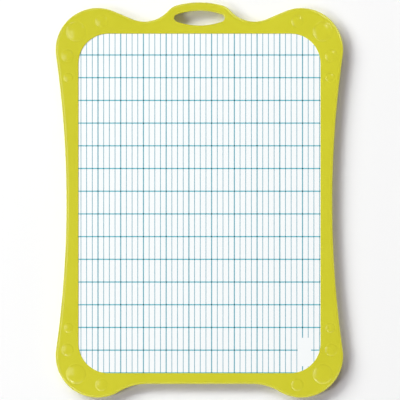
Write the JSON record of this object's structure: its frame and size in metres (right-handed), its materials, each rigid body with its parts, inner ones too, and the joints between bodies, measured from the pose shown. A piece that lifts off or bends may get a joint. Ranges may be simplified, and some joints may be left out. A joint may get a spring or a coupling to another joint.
{
  "type": "dry-erase board",
  "caption": "Pupil's dry-erase slate: laminated white panel, ruled in front and plain behind, held in a moulded frame with round corner lobes, raised bubbles and a carrying slot.",
  "frame": {"origin": "middle of the outline's bounding box, on the rear face that the slate lies on", "axes": "+X across the slate, +Y up it to the carrying handle, +Z out of the ruled face"},
  "size_m": [0.19, 0.2611, 0.0059],
  "materials": {
    "frame_plastic": "lime green injection-moulded plastic, satin gloss",
    "core_board": "hard fibreboard",
    "ruled_sheet": "white sheet printed with blue-green ruling",
    "plain_sheet": "plain white sheet",
    "clear_film": "clear glossy dry-erase film"
  },
  "bodies": {
    "root": {"front_frame": "frame_plastic", "rear_frame": "frame_plastic", "panel_core": "core_board", "front_ruled_sheet": "ruled_sheet", "rear_plain_sheet": "plain_sheet", "front_dry_erase_film": "clear_film", "rear_dry_erase_film": "clear_film"}
  },
  "joints": []
}
